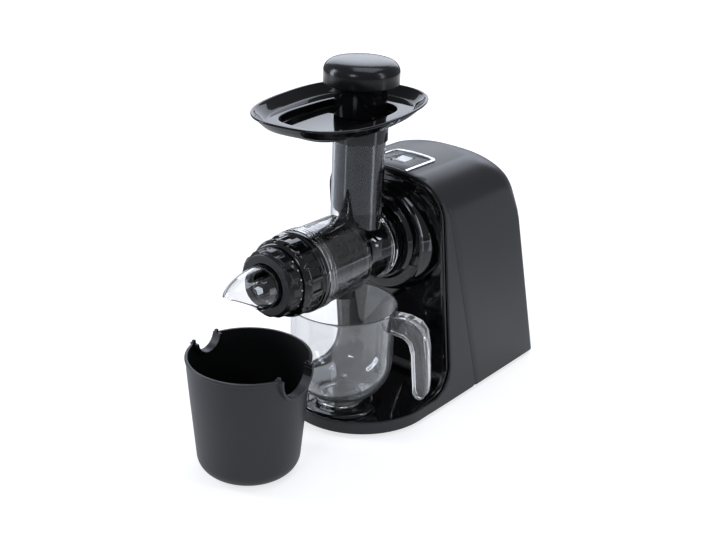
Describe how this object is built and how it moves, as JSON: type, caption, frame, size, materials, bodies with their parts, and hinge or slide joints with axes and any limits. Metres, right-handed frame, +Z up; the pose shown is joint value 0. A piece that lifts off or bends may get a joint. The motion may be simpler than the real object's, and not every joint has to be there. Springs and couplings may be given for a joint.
{
  "type": "cold press juicer",
  "caption": "Horizontal cold press juicer: a geared motor turns an auger in a clear drum with feed tube, food tray and pusher, over a clear jug, with a pulp cup in front.",
  "frame": {"origin": "middle of the whole set's footprint, on the table", "axes": "+Z up, +X to the side of the jug's handle, +Y to the rear of the machine, along the drum's axis"},
  "size_m": [0.1758, 0.4656, 0.378],
  "materials": {
    "matt_charcoal": "fine texture, matt",
    "gloss_black": "polished",
    "matt_black": "matt",
    "clear_plastic": "clear, polished",
    "matt_grey": "matt outside",
    "foot_rubber": "matt",
    "steel": "ground",
    "silver": "satin",
    "white_plastic": "satin",
    "board_green": "lacquered",
    "film_yellow": "moulded",
    "die_cast": "as cast",
    "motor_steel": "zinc plated",
    "winding_copper": "enamelled wire on iron",
    "pinion_brass": "cut",
    "nylon": "moulded, greased",
    "seal_red": "moulded"
  },
  "bodies": {
    "machine": {"rear_cover": "matt_charcoal", "front_frame": "matt_charcoal", "front_panel": "gloss_black", "drum_socket": "gloss_black", "base_plate": "matt_black", "rubber_feet": "foot_rubber", "base_screws": "steel", "switch_plate": "matt_charcoal", "switch_trim": "silver", "switch_housing": "matt_black", "cord_gland": "matt_black", "control_board": "board_green", "filter_capacitor": "film_yellow", "gear_case_front": "die_cast", "gear_case_rear": "die_cast", "gear_case_screws": "steel", "motor_can": "motor_steel", "motor_magnets": "motor_steel", "motor_bearing": "steel", "motor_end_bell": "matt_black", "motor_clamp": "matt_black", "output_bearing": "steel", "socket_seal": "seal_red"},
    "rocker": {"rocker_switch": "white_plastic"},
    "rotor": {"motor_rotor": "winding_copper", "motor_pinion": "pinion_brass", "cooling_fan": "matt_black"},
    "idler": {"idler_shaft": "steel", "idler_gear": "nylon"},
    "drive": {"output_shaft": "steel", "output_gear": "nylon", "output_coupling": "die_cast", "auger": "gloss_black", "auger_shaft": "steel", "auger_seal": "seal_red"},
    "drum_set": {"drum": "clear_plastic", "outlet_valve": "seal_red", "strainer_frame": "matt_black", "strainer_mesh": "steel", "nozzle": "gloss_black", "ring_gasket": "seal_red", "pulp_spout": "clear_plastic"},
    "lock": {"locking_ring": "gloss_black"},
    "knob": {"pressure_knob": "matt_black"},
    "tray": {"food_tray": "gloss_black"},
    "plunger": {"pusher": "gloss_black", "pusher_cap": "gloss_black"},
    "jug": {"juice_jug": "clear_plastic"},
    "cup": {"pulp_cup": "matt_grey"}
  },
  "joints": [
    {"name": "drive_spin", "type": "hinge", "parent": "machine", "child": "drive", "pos_m": [-0.00893, -0.01976, 0.185], "axis": [0, 1, 0], "continuous": true},
    {"name": "idler_spin", "type": "hinge", "parent": "machine", "child": "idler", "pos_m": [-0.00893, 0.07524, 0.1325], "axis": [0, 1, 0], "continuous": true},
    {"name": "rotor_spin", "type": "hinge", "parent": "machine", "child": "rotor", "pos_m": [-0.00893, 0.12024, 0.0905], "axis": [0, 1, 0], "continuous": true},
    {"name": "drum_bayonet", "type": "hinge", "parent": "machine", "child": "drum_set", "pos_m": [-0.00893, -0.01976, 0.185], "axis": [0, 1, 0], "range_deg": [-30, 0]},
    {"name": "ring_turn", "type": "hinge", "parent": "drum_set", "child": "lock", "pos_m": [-0.00893, -0.11976, 0.185], "axis": [0, 1, 0], "range_deg": [0, 45]},
    {"name": "knob_turn", "type": "hinge", "parent": "lock", "child": "knob", "pos_m": [-0.00893, -0.14276, 0.185], "axis": [0, 1, 0], "range_deg": [0, 140]},
    {"name": "tray_lift", "type": "slide", "parent": "drum_set", "child": "tray", "axis": [0, 0, 1], "range_m": [0, 0.03]},
    {"name": "pusher_slide", "type": "slide", "parent": "tray", "child": "plunger", "axis": [0, 0, 1], "range_m": [0, 0.12]},
    {"name": "jug_slide", "type": "slide", "parent": "machine", "child": "jug", "axis": [1, 0, 0], "range_m": [0, 0.12]},
    {"name": "cup_slide", "type": "slide", "parent": "machine", "child": "cup", "axis": [0, -1, 0], "range_m": [0, 0.1]},
    {"name": "rocker_tilt", "type": "hinge", "parent": "machine", "child": "rocker", "pos_m": [-0.00893, 0.05424, 0.254], "axis": [1, 0, 0], "range_deg": [-10, 10]}
  ],
  "couplings": [
    {"joint": "idler_spin", "follows": "drive_spin", "ratio": -6},
    {"joint": "rotor_spin", "follows": "drive_spin", "ratio": 36}
  ]
}
